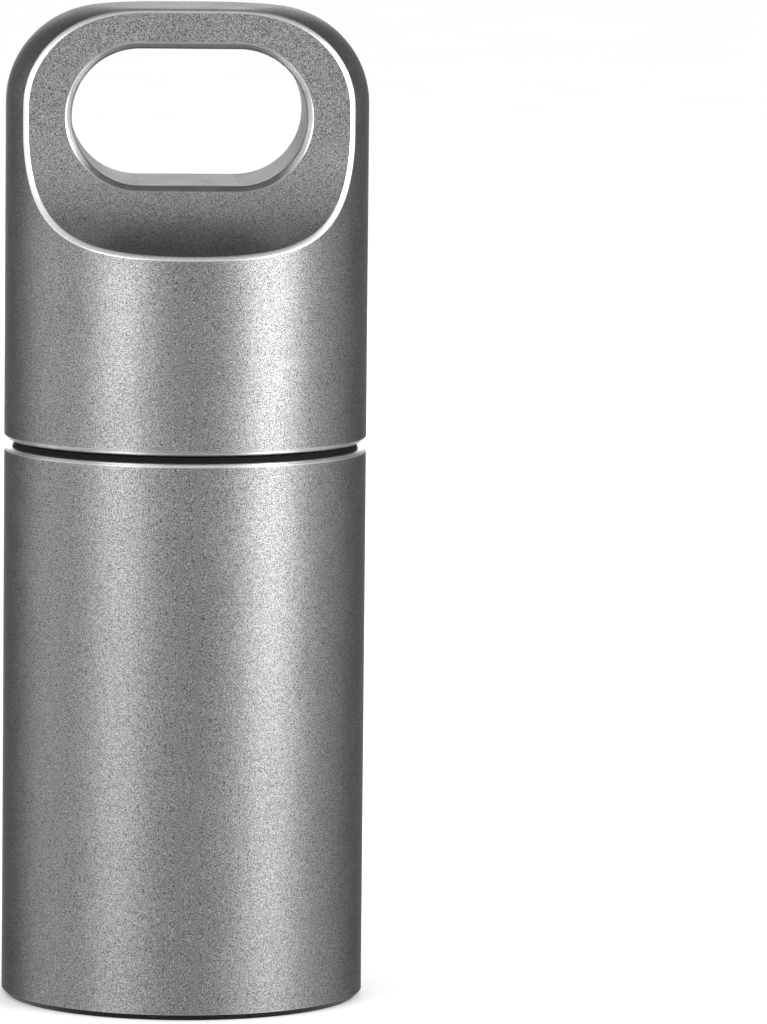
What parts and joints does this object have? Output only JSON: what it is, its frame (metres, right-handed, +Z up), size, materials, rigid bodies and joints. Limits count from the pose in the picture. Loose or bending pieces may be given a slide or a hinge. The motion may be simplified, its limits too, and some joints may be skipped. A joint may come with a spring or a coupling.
{
  "type": "travel pill organizer",
  "caption": "Round metal pocket pill case: threaded neck and black inner cup in a grey tube, under a screw-off round-shouldered cap with a slotted handle.",
  "frame": {"origin": "centre of the flat base, on the case's axis, where the case stands", "axes": "+Z up along the case's axis towards the handle; -Y is the front, which one of the handle's two flats faces; the handle's slot is long in X and runs through along Y"},
  "size_m": [0.028, 0.028, 0.0768],
  "materials": {
    "blasted_metal": "bead-blasted satin",
    "bright_steel": "bright turned",
    "black_gloss": "gloss",
    "black_rubber": "matte",
    "black_plastic": "moulded satin",
    "white_silicone": "soft matte"
  },
  "bodies": {
    "case": {"outer_shell": "blasted_metal", "base_plate": "blasted_metal", "neck_collar": "bright_steel", "inner_cup": "black_gloss", "shoulder_seal": "black_rubber"},
    "gasket": {"cap_gasket": "white_silicone"},
    "cap": {"cap_shell": "blasted_metal", "cap_insert": "black_plastic"}
  },
  "joints": [
    {"name": "cap_rise", "type": "slide", "parent": "case", "child": "gasket", "axis": [0, 0, 1], "range_m": [0, 0.016]},
    {"name": "cap_turn", "type": "hinge", "parent": "gasket", "child": "cap", "pos_m": [0, 0, 0.0433], "axis": [0, 0, 1], "range_deg": [0, 2880]}
  ],
  "couplings": [
    {"joint": "cap_rise", "follows": "cap_turn", "m_per_rad": 0.00031831}
  ]
}
